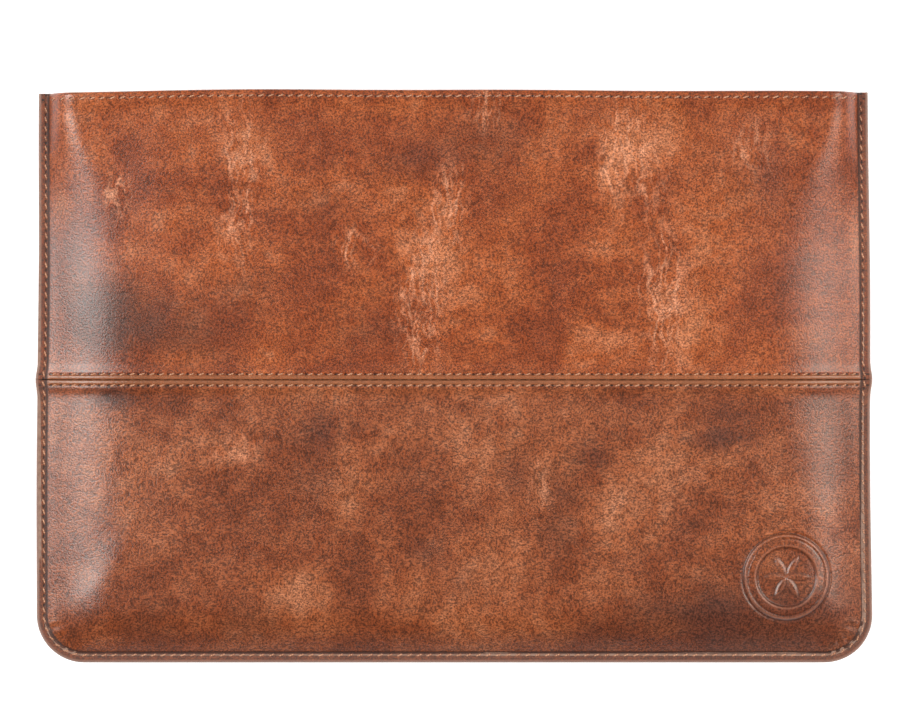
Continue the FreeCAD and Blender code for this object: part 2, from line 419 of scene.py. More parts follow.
FLAT_STEP = 1.6 * MM
edge_lines = [CUT_EDGE] + even(CUT_EDGE, MARGIN, 0.37 * MM) + graded(MARGIN, BLOCK, 34, 1.9)
inner_lines = even(BLOCK, HALF, FLAT_STEP)


def columns(first=CUT_EDGE):
    """Pattern_x of each column, from the left side to the right, starting at an inset."""
    half = [line - HALF for line in edge_lines + inner_lines if line >= first]
    return np.array(half + [-value for value in half[-2::-1]])


def foot_rows(first=CUT_EDGE):
    """Pattern_y of the rows from the bottom edge to the top of the corner blocks."""
    return [BOTTOM + line for line in edge_lines if line >= first]


print("columns:", len(columns()), "| rows round a corner:", len(foot_rows()))

# %% [markdown]
# ## Sheets
#
# The grid primitive is added flat, and each vertex is then sent to its place on the wall. A path lists the
# rows as pattern_y and depth, so a sheet can also dive into a seam or turn round the mouth and run back
# inside, as the hem does. Two UV maps are written at the same time: one holds the place on the pattern, and
# one holds the distance along the edge and in from it, which the stitch holes follow round the corners.

# %% Making a sheet
def edge_distance(pattern_x, pattern_y):
    """Distance along the edge, from the middle of the bottom up either side."""
    side, foot = insets(pattern_x, pattern_y)
    ring, reach = np.minimum(side, foot), np.maximum(side, foot)
    length = corner_run(EDGE_ROW)[0]
    share = np.clip((reach - ring) / np.maximum(BLOCK - ring, 1e-9), 0, 1)
    start = HALF - BLOCK
    on_foot = np.where(side >= BLOCK, np.abs(pattern_x), start + (1 - share) * length)
    on_side = np.where(foot >= BLOCK, start + 2 * length + foot - BLOCK, start + length + share * length)
    return np.where(foot <= side, on_foot, on_side)


def write_uv(piece, name, u, v):
    corners = np.empty(len(piece.data.loops), dtype=np.int32)
    piece.data.loops.foreach_get("vertex_index", corners)
    layer = piece.data.uv_layers.new(name=name)
    layer.data.foreach_set("uv", np.stack([u, v], axis=1)[corners].astype(np.float32).ravel())


def lay_out(across, path):
    """Pattern_x, pattern_y and depth of every vertex of a sheet."""
    rows, depth = np.array(path).T
    return np.tile(across, len(path)), np.repeat(rows, len(across)), np.repeat(depth, len(across))


def sheet(name, wall, across, path):
    """A grid whose columns are at the pattern_x values across, and whose rows are (pattern_y, depth)."""
    piece = add_grid(name, len(across), len(path))
    piece.data.uv_layers.remove(piece.data.uv_layers[0])
    pattern_x, pattern_y, depth = lay_out(across, path)
    write(piece, wall.place(pattern_x, pattern_y, depth)[0])
    side, foot = insets(pattern_x, pattern_y)
    write_uv(piece, "pattern", pattern_x / MM, pattern_y / MM)
    write_uv(piece, "edge", edge_distance(pattern_x, pattern_y) / MM, np.minimum(side, foot) / MM)
    if wall.side < 0:
        choose(piece)
        bpy.ops.object.mode_set(mode="EDIT")
        bpy.ops.mesh.select_all(action="SELECT")
        bpy.ops.mesh.flip_normals()
        bpy.ops.object.mode_set(mode="OBJECT")
    return piece


def thicken(piece, thickness, share=None):
    """Gives a sheet its thickness on the inside. share is each vertex's part of it."""
    choose(piece)
    modifier = piece.modifiers.new("thickness", "SOLIDIFY")
    modifier.thickness = thickness
    modifier.offset = -1
    if share is not None:
        modifier.vertex_group = add_group(piece, "share", share)
        modifier.thickness_vertex_group = 0.02
    bpy.ops.object.modifier_apply(modifier=modifier.name)
    bpy.ops.object.shade_smooth_by_angle(angle=math.radians(50))
    return piece


# %% [markdown]
# ## Leather panels
#
# The panel edge at the seam is folded under, so its path starts down in the groove and rounds up to the
# surface. The mouth is a turned hem: the leather rounds over the cloth layers and comes back inside for
# fourteen millimetres, pared thin so that the hem isn't bulky. At the bottom the cut edge simply stops under
# the paint.

# %% Front and back panels
def hem_path(start):
    """Rows from start over the mouth's edge, and back inside to the end of the flap."""
    over = [(-1.5, 0.0), (-0.95, 0.05), (-0.5, 0.25), (-0.18, 0.6), (-0.03, 1.1), (0.0, 1.9),
            (-0.03, 2.75), (-0.18, 3.25), (-0.5, 3.6), (-0.95, 3.8), (-1.6, 3.85), (-2.3, 3.85)]
    rows = [(value, 0.0) for value in even(start, MOUTH - 4 * MM, FLAT_STEP)]
    rows += [(value, 0.0) for value in even(MOUTH - 4 * MM, MOUTH - 2 * MM, 0.4 * MM)]
    rows += [(MOUTH + y * MM, depth * MM) for y, depth in over]
    return rows + [(value, HEM_DEPTH) for value in even(MOUTH - 2.3 * MM, MOUTH - HEM_REACH, FLAT_STEP)]


def seam_path(way):
    """Rows from the bottom of the seam's groove to clear of it, towards the mouth when way is 1."""
    fold = [(0.03, 1.25), (0.03, 0.7), (0.05, 0.35), (0.12, 0.14), (0.28, 0.03), (0.6, 0.0)]
    rows = [(SEAM + way * y * MM, depth * MM) for y, depth in fold]
    rows += [(value, 0.0) for value in even(SEAM + way * 0.6 * MM, SEAM + way * 3.2 * MM, 0.29 * MM)]
    return rows + [(value, 0.0) for value in even(SEAM + way * 3.2 * MM, SEAM + way * 8 * MM, 0.7 * MM)]


def plain_rows(start, end):
    return [(value, 0.0) for value in even(start, end, FLAT_STEP)]


def pared(path):
    """Full thickness, except on the part of a panel that is turned in."""
    _, _, depth = lay_out(wide, path)
    return 1 - 0.42 * smooth(depth, 2.0 * MM, 3.4 * MM)


wide = columns()
upper_path = seam_path(1) + hem_path(SEAM + 8 * MM)
lower_path = [(value, 0.0) for value in foot_rows()]
lower_path += plain_rows(BOTTOM + BLOCK, SEAM - 8 * MM)[:-1] + seam_path(-1)[::-1]
back_path = [(value, 0.0) for value in foot_rows()] + hem_path(BOTTOM + BLOCK)

upper_panel = sheet("front_upper_leather", front, wide, upper_path)
lower_panel = sheet("front_lower_leather", front, wide, lower_path)
back_panel = sheet("back_leather", back, wide, back_path)
print("rows:", len(upper_path), len(lower_path), len(back_path))

# %% [markdown]
# ## The embossed mark
#
# A heated die presses a mark into the leather. The ring stands up between two pressed lines, with a fine
# line engraved in it, and a plain rosette of six petals fills the middle. The rosette is drawn as with
# compasses: each petal is where two circles of one radius overlap. The grid is too coarse for it, so only
# the faces under the mark are subdivided, and then the vertices are raised or pressed.

# %% Ring and rosette
MARK = Vector((134.4 * MM, -80.8 * MM))
RING_OUTER, RING_INNER = 17.2 * MM, 12.2 * MM
PETAL = 9.4 * MM


def die(x, y):
    """Height that the die adds, in metres, at points of the plan, how dark it leaves them, and a painted
    highlight on its ridges.
    """
    away = np.hypot(x - MARK.x, y - MARK.y)
    edge = 0.35 * MM
    ring = smooth(away, RING_INNER - edge, RING_INNER + edge)
    ring = ring * smooth(-away, -RING_OUTER - edge, -RING_OUTER + edge)
    inside = np.full(len(x), -1.0)
    for petal in range(6):
        centres = [MARK + PETAL * Vector((math.cos(angle), math.sin(angle)))
                   for angle in ((petal - 1) * math.pi / 3, (petal + 1) * math.pi / 3)]
        reach = [np.hypot(x - centre.x, y - centre.y) for centre in centres]
        inside = np.maximum(inside, PETAL - np.maximum(*reach))
    engraved = bump(away, RING_OUTER - 1.5 * MM, 0.3 * MM)
    height = 0.70 * ring + 0.50 * smooth(inside, -0.1 * MM, 0.45 * MM) - 0.30 * engraved
    height = height - 0.30 * bump(away, RING_OUTER + 0.7 * MM, 0.5 * MM)
    height = height - 0.16 * smooth(-away, -RING_INNER - 0.2 * MM, -RING_INNER + 0.8 * MM)
    dark = bump(away, RING_OUTER + 0.4 * MM, 0.4 * MM) + bump(away, RING_INNER - 0.4 * MM, 0.4 * MM)
    dark = dark + 0.6 * engraved + 0.9 * bump(inside, -0.35 * MM, 0.35 * MM)
    # A painted highlight along the ring's edges and round the petals.
    pale = bump(away, RING_OUTER - 0.5 * MM, 0.35 * MM) + bump(away, RING_INNER + 0.5 * MM, 0.35 * MM)
    pale = pale + 0.6 * bump(inside, 0.35 * MM, 0.35 * MM)
    return height * MM, np.minimum(dark, 1), np.minimum(pale, 1)


def refine(piece, centre, radius, cuts):
    """Subdivides the faces whose middles are within a radius of a point of the plan."""
    choose(piece)
    for polygon in piece.data.polygons:
        middle = polygon.center
        polygon.select = math.hypot(middle.x - centre.x, middle.y - centre.y) < radius
    bpy.ops.object.mode_set(mode="EDIT")
    bpy.ops.mesh.select_mode(type="FACE")
    bpy.ops.mesh.subdivide(number_cuts=cuts, smoothness=0)
    bpy.ops.object.mode_set(mode="OBJECT")


bpy.context.tool_settings.mesh_select_mode = (False, False, True)
choose(lower_panel)
bpy.ops.object.mode_set(mode="EDIT")
bpy.ops.mesh.select_all(action="DESELECT")
bpy.ops.object.mode_set(mode="OBJECT")
refine(lower_panel, MARK, RING_OUTER + 2.5 * MM, 4)
points = read(lower_panel)
pressed, dark, pale = die(points[:, 0], points[:, 1])
points[:, 2] += pressed
write(lower_panel, points)
# The mark's UV map holds how dark the die leaves the leather, and its painted highlight.
write_uv(lower_panel, "mark", dark, pale)
print("lower panel vertices with the mark:", len(points))

# %% Thickness of the leather
thicken(upper_panel, LEATHER, pared(upper_path))
thicken(lower_panel, LEATHER)
thicken(back_panel, LEATHER, pared(back_path))
for piece in (upper_panel, lower_panel, back_panel):
    print(piece.name, "triangles:", sum(len(p.vertices) - 2 for p in piece.data.polygons))

# %% [markdown]
# ## Padding, tape and lining
#
# These sheets lie under the leather. The foam is skived to nothing where it reaches the margin, because
# foam in a seam makes it lumpy. The lining runs on into the seam, one layer below the leather, and drops to
# its full depth once it is past the foam's edge.

# %% Cloth layers
def layer_path(first, last, depth):
    """Rows from a distance above the bottom edge to a distance below the mouth."""
    return [(row, depth) for row in foot_rows(first) + even(BOTTOM + BLOCK, MOUTH - last, 3 * MM)]


def sink(piece, wall, across, path, shallow, deep):
    """Moves a sheet to a depth that grows from shallow in the margin to deep past the foam's edge."""
    pattern_x, pattern_y, _ = lay_out(across, path)
    share = smooth(np.minimum(*insets(pattern_x, pattern_y)), MARGIN, MARGIN + 2.6 * MM)
    write(piece, wall.place(pattern_x, pattern_y, shallow + (deep - shallow) * share)[0])
    return share


HEM_FOLD = 1.6 * MM     # cloth layers stop this far short of the mouth
cloth = {}
for word, wall in (("front", front), ("back", back)):
    across = columns()[::2]
    path = layer_path(CUT_EDGE, HEM_FOLD, LINING_DEPTH)
    lining = sheet(f"{word}_lining_cloth", wall, across, path)
    sink(lining, wall, across, path, LEATHER, LINING_DEPTH)
    cloth[word, "lining"] = thicken(lining, LINING)
    across = columns(MARGIN)[::2]
    path = layer_path(MARGIN, HEM_FOLD, LEATHER)
    foam = sheet(f"{word}_foam", wall, across, path)
    share = sink(foam, wall, across, path, LEATHER, LEATHER + 0.05 * MM)
    cloth[word, "padding"] = thicken(foam, 1.1 * MM, share)
    across = columns(8 * MM)[::3]
    tape_rows = even(MOUTH - 11.6 * MM, MOUTH - HEM_FOLD, 1.4 * MM)
    tape = sheet(f"{word}_tape", wall, across, [(row, LEATHER + 0.06 * MM) for row in tape_rows])
    cloth[word, "mouth_stay_tape"] = thicken(tape, 0.2 * MM)
print("cloth layers:", [piece.name for piece in cloth.values()])

# %% [markdown]
# ## The painted edge
#
# The cut edges of all the layers are sealed with thick paint, which dries into a rounded bead. It is a grid
# again: the columns run along the edge and the rows go round half an ellipse.

# %% Edge bead
def edge_point(distance, ring):
    """Pattern place at a distance along the edge, negative to the left, and ring inside it."""
    length = corner_run(EDGE_ROW)[0]
    reach, start = np.abs(distance), HALF - BLOCK
    first = np.clip((reach - start) / length, 0, 1)
    second = np.clip((reach - start - length) / length, 0, 1)
    rest = np.maximum(reach - start - 2 * length, 0)
    side = np.where(first < 1, ring + (1 - first) * (BLOCK - ring), ring)
    side = np.where(first <= 0, HALF - reach, side)
    foot = np.where(first < 1, ring, ring + second * (BLOCK - ring) + rest)
    return np.sign(distance) * (HALF - side), BOTTOM + foot


EDGE_LENGTH = float(edge_distance(np.array([-HALF + EDGE_ROW]), np.array([MOUTH]))[0])
BEAD_DEPTH, BEAD_HALF = 0.95 * MM, 1.62 * MM


def edge_bead():
    along = np.array([-EDGE_LENGTH] + even(-EDGE_LENGTH, EDGE_LENGTH, 1.6 * MM))
    around = np.radians(np.linspace(-90, 90, 9))
    piece = add_grid("edge_bead", len(along), len(around))
    distance, angle = np.tile(along, len(around)), np.repeat(around, len(along))
    ring = BEAD_DEPTH * (1 - np.cos(angle)) + 0.02 * MM
    pattern_x, pattern_y = edge_point(distance, ring)
    x, y = plan(pattern_x, pattern_y)
    swell = 1 + 0.35 * bump(pattern_y, SEAM, 5 * MM)
    write(piece, np.stack([x, y, MIDDLE + BEAD_HALF * swell * np.sin(angle)], axis=1))
    choose(piece)
    bpy.ops.object.mode_set(mode="EDIT")
    bpy.ops.mesh.select_all(action="DESELECT")
    bpy.ops.mesh.select_mode(type="EDGE")
    bpy.ops.mesh.select_non_manifold()
    bpy.ops.mesh.edge_face_add()
    bpy.ops.mesh.select_all(action="SELECT")
    bpy.ops.mesh.quads_convert_to_tris(quad_method="BEAUTY", ngon_method="BEAUTY")
    bpy.ops.mesh.normals_make_consistent(inside=False)
    bpy.ops.object.mode_set(mode="OBJECT")
    bpy.ops.object.shade_smooth_by_angle(angle=math.radians(50))
    return piece


bead = edge_bead()
print("edge bead vertices:", len(bead.data.vertices))

# %% [markdown]
# ## Stitches
#
# A lockstitch shows as a row of short slanted strands, each dipping into a hole at both ends. One strand is
# modelled from a circle, extruded in short steps and arched, and then copied along each row. A copy needs
# three directions: along the row, up out of the leather, and across. The slant turns it about the up
# direction.

# %% One strand
STRAND_RADIUS = 0.32 * MM
STRAND_HALF = 1.4 * MM
STRAND_RINGS = 6


def make_strand():
    deselect()
    bpy.ops.mesh.primitive_circle_add(vertices=6, radius=STRAND_RADIUS, fill_type="NGON",
                                      location=(-STRAND_HALF, 0, 0), rotation=(0, -math.pi / 2, 0))
    bpy.ops.object.transform_apply(location=True, rotation=True, scale=True)
    strand = bpy.context.object
    bpy.ops.object.mode_set(mode="EDIT")
    bpy.ops.mesh.select_all(action="SELECT")
    for _ in range(STRAND_RINGS):
        move = {"value": (2 * STRAND_HALF / STRAND_RINGS, 0, 0)}
        bpy.ops.mesh.extrude_region_move(TRANSFORM_OT_translate=move)
    bpy.ops.mesh.select_all(action="SELECT")
    bpy.ops.mesh.normals_make_consistent(inside=False)
    bpy.ops.object.mode_set(mode="OBJECT")
    points = read(strand)
    along = points[:, 0] / STRAND_HALF
    thin = 1 - 0.35 * along ** 4
    points[:, 1] *= thin
    points[:, 2] = points[:, 2] * thin + 0.20 * MM - 0.62 * MM * along ** 4
    write(strand, points)
    return strand


strand = make_strand()
strand_points = read(strand)
strand_faces = [tuple(polygon.vertices) for polygon in strand.data.polygons]
bpy.data.objects.remove(strand)
print("one strand:", len(strand_faces), "faces")

# %% Rows of stitches
SLANT = math.radians(20)


def unit(vectors):
    return vectors / np.linalg.norm(vectors, axis=1)[:, None]


def sew(name, wall, row, spots, depth=0.0, facing=1):
    """Copies of the strand at spots along a row, which turns a distance into a place on the pattern."""
    centre, normal = wall.place(*row(spots), np.full(len(spots), depth))
    ahead, _ = wall.place(*row(spots + STRAND_HALF), np.full(len(spots), depth))
    behind, _ = wall.place(*row(spots - STRAND_HALF), np.full(len(spots), depth))
    up = normal * facing
    along = unit(ahead - behind)
    across = unit(np.cross(up, along))
    up = np.cross(along, across)
    turned = math.cos(SLANT) * along + math.sin(SLANT) * across
    across = np.cross(up, turned)
    axes = np.stack([turned, across, up], axis=1)
    points = (centre[:, None, :] + np.einsum("vk,ski->svi", strand_points, axes)).reshape(-1, 3)
    count = len(strand_points)
    faces = [tuple(v + count * s for v in face) for s in range(len(spots)) for face in strand_faces]
    mesh = bpy.data.meshes.new(name)
    mesh.from_pydata(points.tolist(), [], faces)
    piece = bpy.data.objects.new(name, mesh)
    bpy.context.collection.objects.link(piece)
    lengthwise = np.tile(strand_points[:, 0] / MM, len(spots))
    girth = np.tile(np.arctan2(strand_points[:, 2], strand_points[:, 1]), len(spots))
    write_uv(piece, "strand", lengthwise, girth)
    for polygon in mesh.polygons:
        polygon.use_smooth = True
    return piece


def straight(row_y):
    """A row across the wall. Spots are real distances from the middle, so the taper is taken back out."""
    stretch = 1 / (1 - TAPER / HALF * (row_y - BOTTOM) / (MOUTH - BOTTOM))
    return lambda spots: (spots * stretch, np.full(len(spots), row_y))


def spots_within(limit):
    """The middles of the stitches that fit on either side of the row's own middle."""
    count = int(limit / PITCH)
    return (np.arange(-count, count) + 0.5) * PITCH


hem_row = straight(MOUTH - HEM_ROW)
row_reach = HALF - EDGE_ROW - 2.6 * MM
inner_spots = spots_within(HALF - 13 * MM)
threads = {}
for word, wall in (("front", front), ("back", back)):
    threads[f"{word}_mouth_needle_thread"] = sew(
        f"{word}_mouth_stitches", wall, hem_row, spots_within(row_reach))
    threads[f"{word}_mouth_bobbin_thread"] = sew(
        f"{word}_mouth_inner_stitches", wall, hem_row, inner_spots, HEM_DEPTH, -1)
for word, way in (("upper", 1), ("lower", -1)):
    seam_row = straight(SEAM + way * SEAM_ROW)
    threads[f"cross_seam_{word}_needle_thread"] = sew(
        f"cross_seam_{word}_stitches", front, seam_row, spots_within(row_reach))
    threads[f"cross_seam_{word}_bobbin_thread"] = sew(
        f"cross_seam_{word}_inner_stitches", front, seam_row, inner_spots, 2.1 * MM, -1)
threads["cross_seam_joining_thread"] = sew(
    "cross_seam_joining_stitches", front, straight(SEAM), inner_spots, 1.2 * MM)


def edge_row(spots):
    return edge_point(spots, EDGE_ROW)


round_spots = spots_within(EDGE_LENGTH - 1.2 * MM)
threads["perimeter_needle_thread"] = sew("edge_stitches_front", front, edge_row, round_spots)
threads["perimeter_bobbin_thread"] = sew("edge_stitches_back", back, edge_row, round_spots)
print("stitches:", sum(len(p.data.vertices) for p in threads.values()) // len(strand_points))

# %% [markdown]
# ## Shader sums as Python
#
# A node tree is a long sum. Writing it as Python keeps it readable: a Wire stands for one output socket,
# and adding or multiplying wires adds the Math nodes. All other nodes come from one method, which sets the
# node's own settings first and then fills or links its sockets.

# %% Wires and boards
class Wire:
    def __init__(self, board, socket):
        self.board, self.socket = board, socket

    def math(self, operation, *values):
        """A Math node that has this wire as its first value."""
        return self.board.math(operation, self, *values)

    def __add__(self, other):
        return self.math("ADD", other)

    def __sub__(self, other):
        return self.math("SUBTRACT", other)

    def __rsub__(self, other):
        return self.board.math("SUBTRACT", other, self)

    def __mul__(self, other):
        return self.math("MULTIPLY", other)

    def __truediv__(self, other):
        return self.math("DIVIDE", other)

    __radd__, __rmul__ = __add__, __mul__


class Board:
    """A material's node tree, with one method that adds nodes."""

    def __init__(self, name):
        self.material = bpy.data.materials.new(name)
        self.material.use_nodes = True
        self.tree = self.material.node_tree
        self.shader = self.tree.nodes["Principled BSDF"]

    def node(self, kind, settings, sockets, out=0):
        made = self.tree.nodes.new(kind)
        for key, value in settings.items():
            if key == "stops":
                self.stops(made, value)
            else:
                setattr(made, key, value)
        for key, value in sockets.items():
            self.fill(made.inputs[key], value)
        return Wire(self, made.outputs[out])

    def fill(self, socket, value):
        if isinstance(value, Wire):
            self.tree.links.new(value.socket, socket)
        else:
            socket.default_value = value

    def stops(self, ramp, stops):
        while len(ramp.color_ramp.elements) < len(stops):
            ramp.color_ramp.elements.new(0.5)
        for element, (place, colour) in zip(ramp.color_ramp.elements, stops):
            element.position, element.color = place, colour

    def plug(self, socket, value):
        self.fill(self.shader.inputs[socket], value)

    def math(self, operation, *values):
        return self.node("ShaderNodeMath", {"operation": operation}, dict(enumerate(values)))

    def place(self, scale):
        """The point on the object, in units of scale metres."""
        where = self.node("ShaderNodeTexCoord", {}, {}, "Object")
        return self.vector("SCALE", where, Scale=1 / scale)

    def uv(self, name):
        return self.node("ShaderNodeUVMap", {"uv_map": name}, {})

    def vector(self, operation, *values, out=0, **named):
        sockets = {**dict(enumerate(values)), **named}
        return self.node("ShaderNodeVectorMath", {"operation": operation}, sockets, out)

    def mix(self, first, second, factor):
        settings = {"data_type": "RGBA", "clamp_factor": True}
        return self.node("ShaderNodeMix", settings, {0: factor, 6: first, 7: second}, 2)

    def range(self, value, low, high, to_low=0.0, to_high=1.0):
        return self.node("ShaderNodeMapRange", {"interpolation_type": "SMOOTHSTEP"},
                         {0: value, 1: low, 2: high, 3: to_low, 4: to_high})

    def noise(self, where, scale, detail=2.0, roughness=0.5, distortion=0.0, out=0):
        sockets = {"Vector": where, "Scale": scale, "Detail": detail, "Roughness": roughness,
                   "Distortion": distortion}
        return self.node("ShaderNodeTexNoise", {}, sockets, out)

    def split(self, where):
        return [self.node("ShaderNodeSeparateXYZ", {}, {0: where}, axis) for axis in range(3)]

    def bump(self, height, strength, distance):
        sockets = {"Strength": strength, "Distance": distance, "Height": height}
        self.plug("Normal", self.node("ShaderNodeBump", {}, sockets))


def shade(red, green, blue):
    """A linear colour from the 0 to 255 values that a screen shows."""
    return tuple((c / 255 / 12.92) if c < 11 else ((c / 255 + 0.055) / 1.055) ** 2.4
                 for c in (red, green, blue)) + (1.0,)

# %% [markdown]
# ## Waxed pull-up leather
#
# The hide is dyed through and waxed. Where it stretches, the wax moves and the colour lightens, so growth
# lines and creases show pale, and where wax gathers the colour goes deep. Over that lies a fine pebble
# grain. The shader builds these up: slow clouds between a deep and a light tone, stains and pale areas placed
# on the pattern, thin pale veins that run only where the hide was creased, and the pebbles in both
# colour and bump.
# On the lower front panel, two of the listed dark spots are painted shade along the bottom shoulder.

# %% Leather shader
STAIN_AND_SHADE, CREASE = shade(74, 36, 24), shade(212, 144, 108)
PRESSED_DARK, RIDGE_HIGHLIGHT = shade(58, 28, 20), shade(190, 126, 98)
MARGIN_SHADE, RIM_HIGHLIGHT, FOOT_SHADOW = shade(70, 38, 26), shade(150, 114, 98), shade(36, 20, 18)
SEAM_STRIP, SEAM_GROOVE_SHADE, HOLE_SHADE = shade(160, 100, 64), shade(60, 34, 22), shade(34, 18, 14)


def spots_of(board, where, spots):
    """Sum of soft spots, each (x, y, radius x, radius y, strength) in millimetres on the pattern."""
    total = 0.0
    for x, y, wide_x, wide_y, strength in spots:
        scale, shift = (1 / wide_x, 1 / wide_y, 0), (-x / wide_x, -y / wide_y, 0)
        offset = board.vector("MULTIPLY_ADD", where, scale, shift)
        square = board.vector("DOT_PRODUCT", offset, offset, out="Value")
        total = board.math("POWER", math.exp(-1), square) * strength + total
    return total


def hole_mask(board, along, across, row):
    """1 inside the needle holes of a row: a hole each PITCH along, at a distance row across."""
    turn, off = along.math("PINGPONG", PITCH / MM / 2), across - row
    return board.range(turn * turn * 1.6 + off * off * 4.2, 0.15, 1.1, 1.0, 0.0)


def network(board, where, size_x, size_y, width):
    """1 along the borders of long irregular cells, which look like a bundle of creases."""
    scaled = board.vector("MULTIPLY", where, (1 / size_x, 1 / size_y, 0))
    settings = {"feature": "DISTANCE_TO_EDGE", "voronoi_dimensions": "2D"}
    border = board.node("ShaderNodeTexVoronoi", settings, {"Vector": scaled, "Scale": 1.0})
    return board.range(border, 0.0, width, 1.0, 0.0)


def wobble(board, where, scale):
    """A direction that changes slowly from place to place."""
    return board.vector("SUBTRACT", board.noise(where, scale, out=1), (0.5, 0.5, 0.5))


def leather(name, tones, stains_and_shade, pale, creases, rows, curl):
    board = Board(name)
    at = board.place(MM)
    pattern, edge = board.uv("pattern"), board.uv("edge")
    pattern_x, pattern_y, _ = board.split(pattern)
    edge_along, edge_in, _ = board.split(edge)

    drift, wander = wobble(board, at, 0.07), wobble(board, at, 0.4)
    bent = board.vector("ADD", pattern, board.vector("SCALE", drift, Scale=14.0))
    crooked = board.vector("ADD", bent, board.vector("SCALE", wander, Scale=2.0))

    clouds = board.noise(at, 0.035, 4.0, 0.55, 0.3)
    mottle = board.noise(at, 0.15, 4.0, 0.6, 0.3)
    speck = board.noise(at, 1.35, 1.0, 0.8)
    curly = board.vector("ADD", at, board.vector("SCALE", wander, Scale=2.4))
    across = board.noise(board.vector("MULTIPLY", curly, (0.5, 1.8, 1.0)), 1.0, 1.0, 0.7)
    upward = board.noise(board.vector("MULTIPLY", curly, (1.8, 0.5, 1.0)), 1.0, 1.0, 0.7)
    leaning = board.range(mottle, 0.4, 0.6)
    stroke = across * leaning + upward * (1 - leaning)

    creased = spots_of(board, bent, creases)
    light = (clouds - 0.5) * 1.1 + (mottle - 0.5) * 0.6 + 0.5 + spots_of(board, bent, pale) + creased * 0.12
    tone = board.node("ShaderNodeValToRGB", {"stops": tones}, {0: light})
    # Stains, and on the lower front panel also painted shade along the bottom.
    stain_and_shade = spots_of(board, bent, stains_and_shade) * (mottle * 0.9 + 0.55)
    tone = board.mix(tone, STAIN_AND_SHADE, board.range(stain_and_shade, 0.0, 1.1, 0.0, 0.85))

    bundle = network(board, crooked, 6.0, 32.0, 0.13) * 0.8 + network(board, crooked, 2.8, 15.0, 0.2) * 0.6
    vein = bundle * board.range(creased, 0.05, 0.7) * board.range(mottle, 0.30, 0.55)
    tone = board.mix(tone, CREASE, vein * 0.6)

    grain = (speck - 0.5) * 6.5 + (stroke - 0.5) * curl
    tone = board.vector("SCALE", tone, Scale=board.range(grain, -1.5, 1.6, 0.46, 1.74))
    mark_dark, mark_highlight, _ = board.split(board.uv("mark"))
    tone = board.mix(tone, PRESSED_DARK, mark_dark * 0.6)
    # Painted highlight on the mark's ridges.
    tone = board.mix(tone, RIDGE_HIGHLIGHT, mark_highlight * 0.4)

    # Painted shade in the stitched margin, the channel between the edge and the padded shoulder.
    tone = board.mix(tone, MARGIN_SHADE, board.range(edge_in, 3.8, 4.8, 0.45, 0.0))
    # Painted highlight on the leather's rounded rim, where it curves down to the painted edge.
    tone = board.mix(tone, RIM_HIGHLIGHT, board.range(edge_in, 0.5, 1.6, 0.8, 0.0))
    # Painted shadow: a dark line along the foot of the shoulder, where it rises steeply from the margin.
    fold = (edge_in - MARGIN / MM).math("ABSOLUTE")
    tone = board.mix(tone, FOOT_SHADOW, board.range(fold, 0.1, 0.9, 0.75, 0.0))
    hole = hole_mask(board, edge_along, edge_in, EDGE_ROW / MM)
    for row in rows:
        hole = hole.math("MAXIMUM", hole_mask(board, pattern_x, pattern_y, row))
    strip = (pattern_y - SEAM / MM).math("ABSOLUTE")
    inside = board.range(edge_in, MARGIN / MM, MARGIN / MM + 1.0)
    tone = board.mix(tone, SEAM_STRIP, board.range(strip, 1.7, 2.4, 0.6, 0.0) * inside)
    # Painted shade in the groove between the seam's two folded edges.
    tone = board.mix(tone, SEAM_GROOVE_SHADE, board.range(strip, 0.1, 0.4, 0.6, 0.0))
    # Painted shade in the needle holes.
    tone = board.mix(tone, HOLE_SHADE, hole * 0.85)

    board.plug("Base Color", tone)
    board.plug("Roughness", board.range(mottle + speck * 0.4, 0.3, 1.1, 0.27, 0.38)
               + board.range(edge_in, 4.2, 5.2, 0.35, 0.0))
    board.plug("Specular IOR Level", 0.85)
    board.bump(grain * 0.022 - hole * 0.25, 0.6, MM)
    return board.material


def stops(*tones):
    """Places of the deep, the two middle and the light tone in the clouds."""
    return [(place, shade(*tone)) for place, tone in zip((0.0, 0.42, 0.62, 1.0), tones)]


UPPER_TONES = stops((90, 36, 13), (131, 58, 20), (153, 76, 33), (188, 118, 78))
LOWER_TONES = stops((76, 34, 14), (119, 56, 24), (141, 75, 40), (174, 110, 74))

UPPER_STAINS = [(-156, 40, 12, 50, 0.5), (-118, 19, 34, 18, 0.7), (-137, 28, 12, 18, 0.6),
                (14, 96, 22, 14, 0.5), (-18, 88, 16, 8, 0.4), (-54, 70, 14, 8, 0.4), (-82, 37, 14, 10, 0.4),
                (-38, 19, 18, 12, 0.4), (146, 10, 16, 14, 0.4), (124, 78, 20, 16, 0.35)]
UPPER_PALE = [(-87, 96, 14, 16, 0.22), (80, 97, 18, 12, 0.12), (76, 52, 18, 22, 0.15), (-2, 62, 10, 20, 0.15),
              (110, 40, 24, 30, 0.1)]
UPPER_CREASES = [(-87, 78, 8, 30, 0.9), (-137, 74, 6, 10, 0.7), (-41, 52, 6, 8, 0.8), (-14, 30, 10, 28, 0.9),
                 (-2, 66, 7, 20, 0.8), (13, 108, 8, 12, 0.7), (70, 90, 14, 22, 0.7), (85, 30, 10, 30, 0.8),
                 (122, 92, 8, 14, 0.5)]
